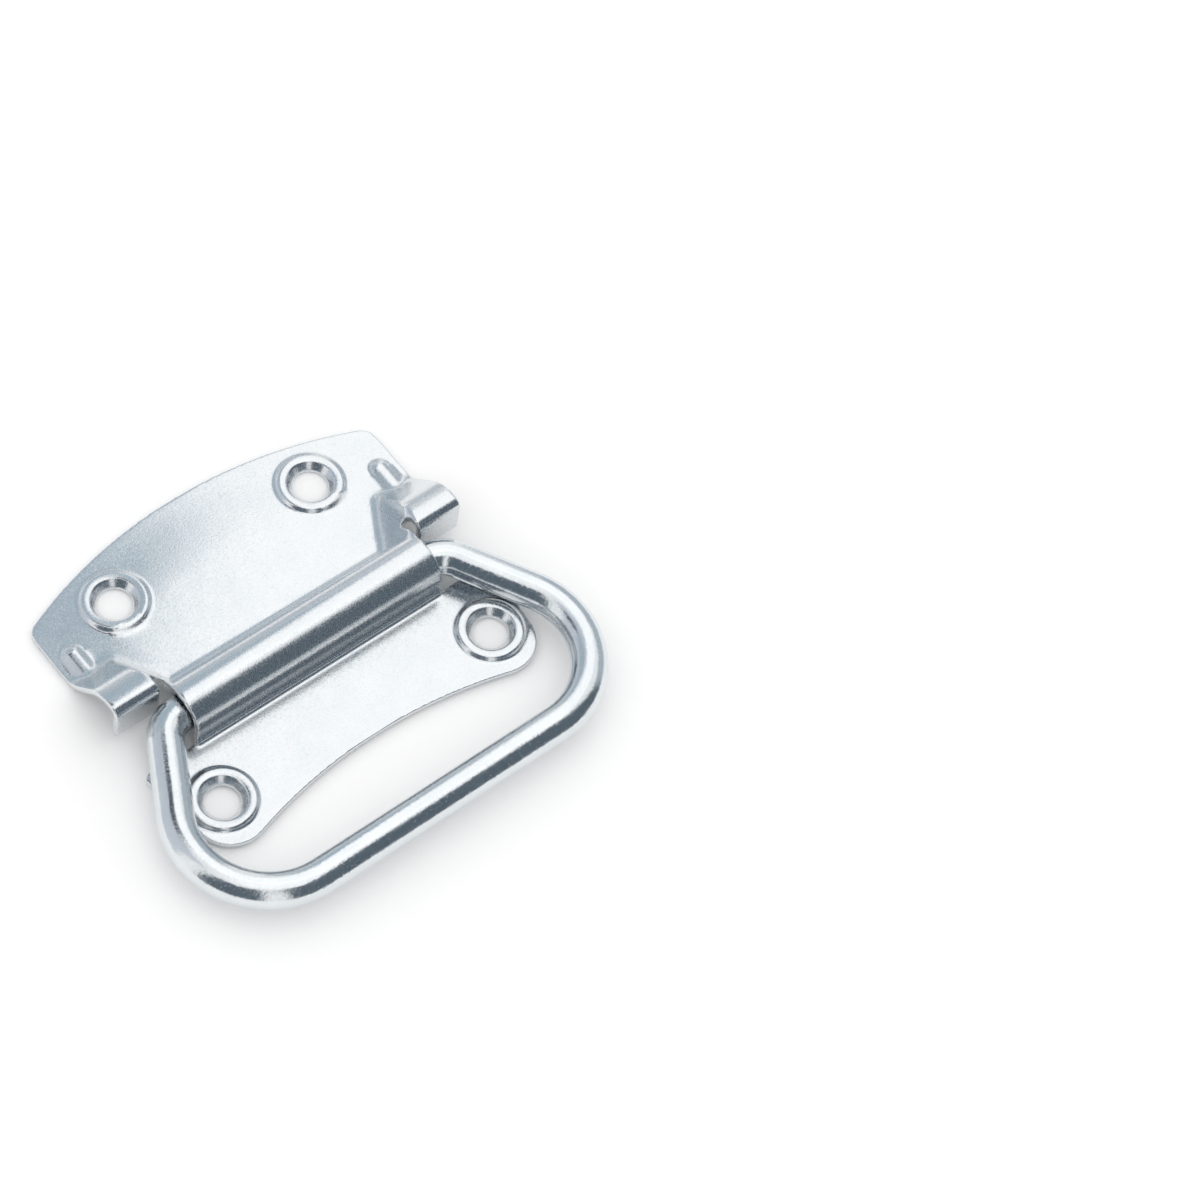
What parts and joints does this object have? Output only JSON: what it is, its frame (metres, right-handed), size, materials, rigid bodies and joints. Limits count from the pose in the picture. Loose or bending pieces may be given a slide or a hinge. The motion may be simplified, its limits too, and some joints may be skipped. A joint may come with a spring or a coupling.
{
  "type": "chest handle",
  "caption": "Zinc-plated steel chest handle: a round-rod bail swings in the hump of a stamped screw-on back plate and stops square against folded ears.",
  "frame": {"origin": "midway between the two upper screw holes, on the plate's back face", "axes": "+X along the pivot, +Y up the chest towards the arched edge, +Z away from the chest wall"},
  "size_m": [0.0862, 0.0779, 0.0104],
  "materials": {
    "plate_zinc": "bright blue-white zinc plating on stamped sheet steel",
    "bail_zinc": "bright blue-white zinc plating on bent steel rod"
  },
  "bodies": {
    "plate": {"back_plate": "plate_zinc"},
    "bail": {"bail": "bail_zinc"}
  },
  "joints": [
    {"name": "bail_swing", "type": "hinge", "parent": "plate", "child": "bail", "pos_m": [0, -0.0255, 0.00475], "axis": [-1, 0, 0], "range_deg": [0, 90]}
  ]
}
